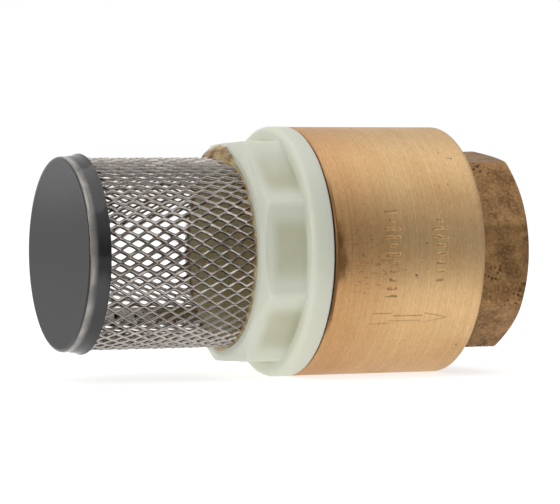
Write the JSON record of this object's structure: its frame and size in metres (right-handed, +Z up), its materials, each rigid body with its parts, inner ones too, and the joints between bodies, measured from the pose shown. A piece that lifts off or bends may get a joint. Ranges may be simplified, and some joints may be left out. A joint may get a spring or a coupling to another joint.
{
  "type": "foot valve",
  "caption": "Spring-loaded foot valve with a brass body, a female threaded outlet, a nylon inlet connector and a capped mesh strainer for a pump's suction pipe.",
  "frame": {"origin": "on the flow axis, at the outlet face where the pipe screws in", "axes": "+X along the flow, out of the outlet; the strainer points to -X; +Z up with the valve lying on its side"},
  "size_m": [0.0782, 0.042, 0.0421],
  "materials": {
    "turned_brass": "turned, satin",
    "nylon": "moulded, translucent",
    "nitrile_rubber": "moulded",
    "machined_brass": "machined",
    "acetal": "moulded",
    "stainless_sheet": "pressed",
    "spring_wire": "drawn wire",
    "expanded_stainless": "slit and stretched",
    "black_enamel": "glossy",
    "cured_resin": "poured, glossy"
  },
  "bodies": {
    "body": {"valve_body": "turned_brass", "strainer_connector": "nylon", "connector_o_ring": "nitrile_rubber", "guide_spider": "machined_brass", "guide_bush": "acetal", "spring_cup": "stainless_sheet", "return_spring": "spring_wire", "strainer_mesh": "expanded_stainless", "mesh_seam_welds": "expanded_stainless", "strainer_end_cap": "black_enamel", "bonding_resin": "cured_resin"},
    "poppet_group": {"poppet": "acetal", "poppet_seal": "nitrile_rubber", "seal_retainer": "stainless_sheet", "retainer_screw": "stainless_sheet", "stem_clip": "stainless_sheet"}
  },
  "joints": [
    {"name": "poppet_lift", "type": "slide", "parent": "body", "child": "poppet_group", "axis": [1, 0, 0], "range_m": [0, 0.006], "stiffness_N_per_m": 350, "springref_m": -0.0034, "deforming": ["return_spring"]}
  ]
}
